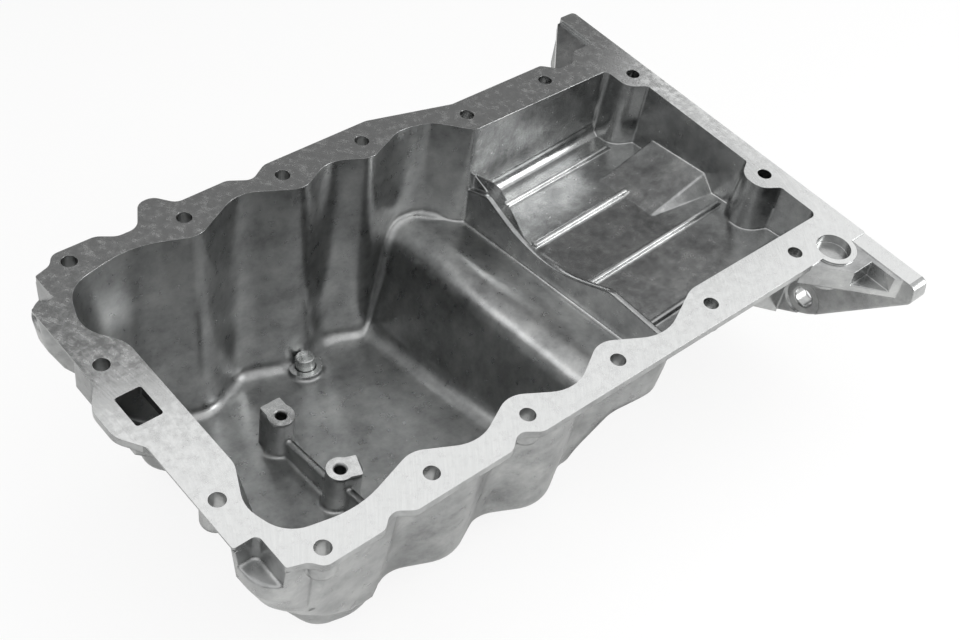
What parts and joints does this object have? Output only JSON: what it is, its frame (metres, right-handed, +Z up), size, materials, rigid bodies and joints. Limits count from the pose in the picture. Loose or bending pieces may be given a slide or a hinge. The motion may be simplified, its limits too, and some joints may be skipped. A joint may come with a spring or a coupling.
{
  "type": "engine oil pan",
  "caption": "Cast aluminium engine oil pan with a deep fluted sump, a shallow ribbed tray, a bolted rail, a gearbox flange with ears and a drain plug.",
  "frame": {"origin": "on the machined face of the rail, on the crankshaft's centre line, midway between the second pair of rail holes from the timing end", "axes": "+X along the engine toward the gearbox flange, +Y across the engine toward the deeper side of the sump, +Z up, square to the rail face"},
  "size_m": [0.4472, 0.3099, 0.165],
  "materials": {
    "cast_aluminium": "satin",
    "plated_steel": "satin",
    "seal_ring": "satin"
  },
  "bodies": {
    "pan": {"oil_pan_casting": "cast_aluminium"},
    "washer": {"drain_plug_washer": "seal_ring"},
    "plug": {"drain_plug": "plated_steel"}
  },
  "joints": [
    {"name": "plug_travel", "type": "slide", "parent": "pan", "child": "washer", "axis": [0, -0.2079, -0.9781], "range_m": [0, 0.024]},
    {"name": "plug_turn", "type": "hinge", "parent": "washer", "child": "plug", "pos_m": [0.0703, 0.07471, -0.15417], "axis": [0, -0.2079, -0.9781], "range_deg": [0, 5904]}
  ],
  "couplings": [
    {"joint": "plug_turn", "follows": "plug_travel", "rad_per_m": 4188.8}
  ]
}
